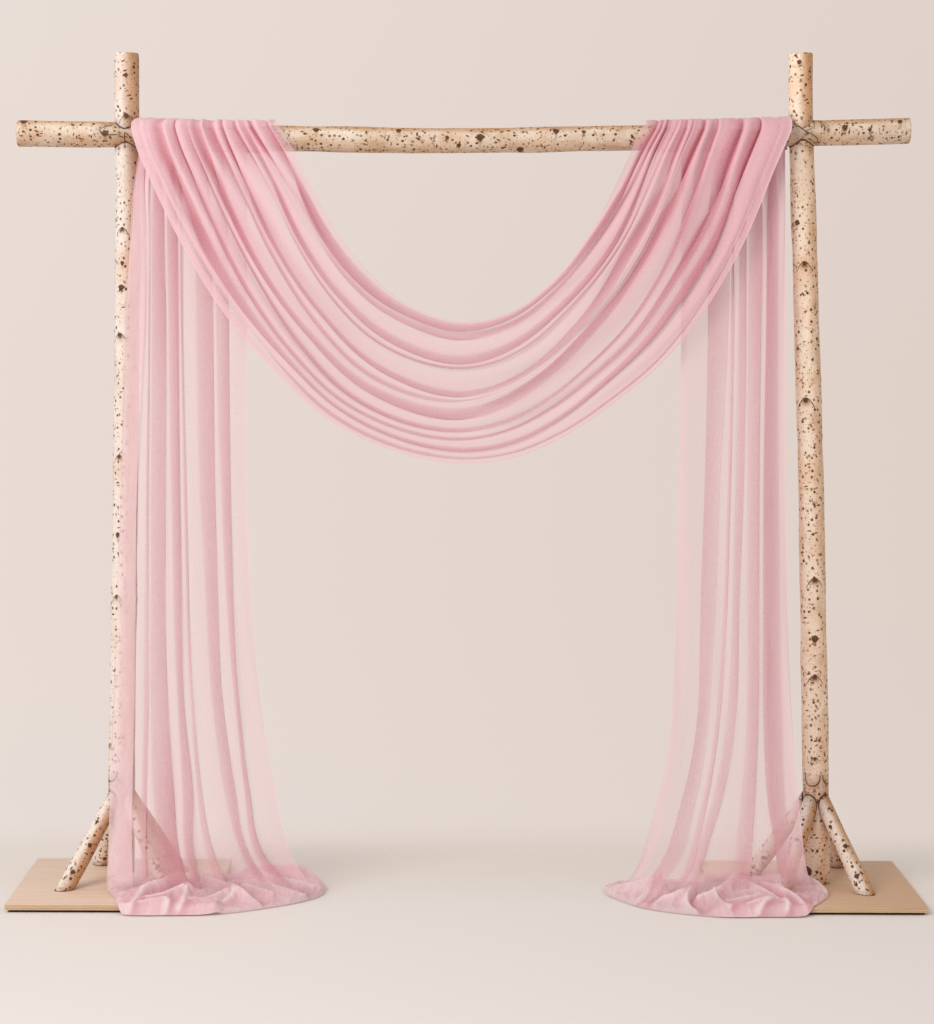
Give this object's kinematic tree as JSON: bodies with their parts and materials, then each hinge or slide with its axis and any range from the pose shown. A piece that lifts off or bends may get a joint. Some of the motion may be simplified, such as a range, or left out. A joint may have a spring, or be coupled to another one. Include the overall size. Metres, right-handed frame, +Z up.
{
  "type": "draped birch arch",
  "caption": "Free-standing birch log arch on plywood bases, its crossbeam draped with a swag and floor-length tails of sheer pink cloth.",
  "frame": {"origin": "on the floor, midway between the two bases, near the posts' plane", "axes": "+Z up, +X along the crossbeam to the viewer's right, -Y towards the viewer in front"},
  "size_m": [2.425, 0.5772, 2.2636],
  "materials": {
    "birch_bark": "cream and tan birch bark with dark lenticels and branch scars",
    "plywood": "smooth pale plywood, bare edges",
    "rubber": "matte black",
    "chiffon": "sheer matte chiffon"
  },
  "bodies": {
    "root": {"left_post": "birch_bark", "right_post": "birch_bark", "crossbeam": "birch_bark", "left_brace_front_outer": "birch_bark", "left_brace_front_inner": "birch_bark", "left_brace_back_outer": "birch_bark", "left_brace_back_inner": "birch_bark", "right_brace_front_outer": "birch_bark", "right_brace_front_inner": "birch_bark", "right_brace_back_outer": "birch_bark", "right_brace_back_inner": "birch_bark", "left_base_board": "plywood", "right_base_board": "plywood", "left_base_pad": "rubber", "right_base_pad": "rubber", "swag": "chiffon", "left_wrap": "chiffon", "right_wrap": "chiffon", "left_tail": "chiffon", "right_tail": "chiffon", "left_pool": "chiffon", "right_pool": "chiffon"}
  },
  "joints": []
}
